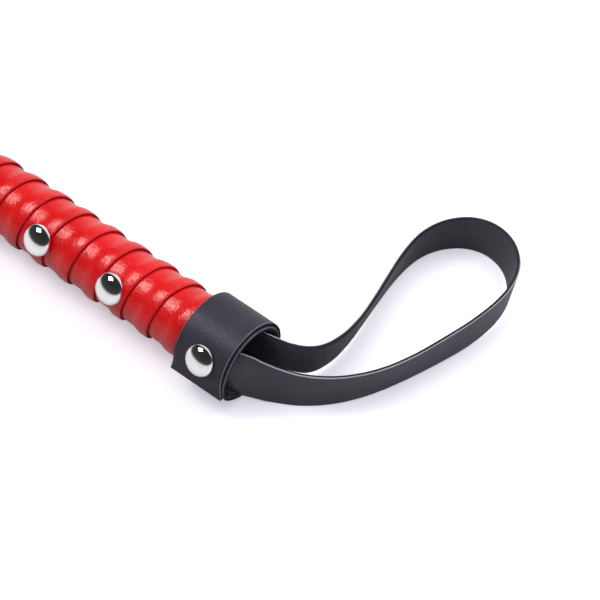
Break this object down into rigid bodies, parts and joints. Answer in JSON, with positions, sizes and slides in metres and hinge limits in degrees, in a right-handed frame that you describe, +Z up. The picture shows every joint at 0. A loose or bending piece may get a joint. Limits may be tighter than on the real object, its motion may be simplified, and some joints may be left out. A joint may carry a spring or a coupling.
{
  "type": "riding crop",
  "caption": "Riding crop with a strip-wound studded grip, hinged wrist strap loop, tapered braided shaft and folded leather keeper that flexes at the tip.",
  "frame": {"origin": "on the handle axis at the open mouth of the butt collar", "axes": "+X along the handle axis and out of the butt, -X towards the keeper tip, -Y the riveted front of the handle, +Z up with the crop lying on its side"},
  "size_m": [0.6938, 0.1096, 0.0288],
  "materials": {
    "core_plastic": "matte",
    "red_strip": "semi-gloss grained synthetic leather",
    "stud_chrome": "polished",
    "nail_steel": "brushed",
    "collar_black": "fine grained satin",
    "strap_black": "fine grained satin",
    "nose_plastic": "gloss",
    "rod_fibreglass": "smooth resin",
    "shaft_braid": "braided nylon",
    "tip_brass": "polished",
    "whipping_thread": "waxed thread",
    "keeper_leather": "fine grained satin",
    "stitch_thread": "waxed thread"
  },
  "bodies": {
    "handle": {"grip_core": "core_plastic", "grip_wrap": "red_strip", "grip_stud_caps": "stud_chrome", "grip_stud_nails": "nail_steel", "butt_collar": "collar_black", "collar_rivet_cap": "stud_chrome", "collar_rivet_post": "nail_steel", "strap_tails": "strap_black", "strap_tack": "nail_steel", "front_collar": "collar_black", "front_collar_stud_cap": "stud_chrome", "front_collar_stud_nail": "nail_steel", "grip_nose": "nose_plastic", "shaft_rod": "rod_fibreglass", "shaft_cover": "shaft_braid", "tip_cap": "tip_brass", "tip_whipping": "whipping_thread", "keeper_roots": "keeper_leather"},
    "loop": {"wrist_loop": "strap_black"},
    "keeper": {"keeper_flap": "keeper_leather", "keeper_stitching": "stitch_thread", "keeper_rivet_cap": "stud_chrome", "keeper_rivet_post": "nail_steel", "keeper_rivet_back_cap": "stud_chrome"}
  },
  "joints": [
    {"name": "wrist_loop_swing", "type": "hinge", "parent": "handle", "child": "loop", "pos_m": [0.007, 0.0063, -0.0055], "axis": [0, 0, 1], "range_deg": [-75, 45]},
    {"name": "keeper_flex", "type": "hinge", "parent": "handle", "child": "keeper", "pos_m": [-0.5787, 0, 0], "axis": [0, 1, 0], "range_deg": [-50, 50]}
  ]
}
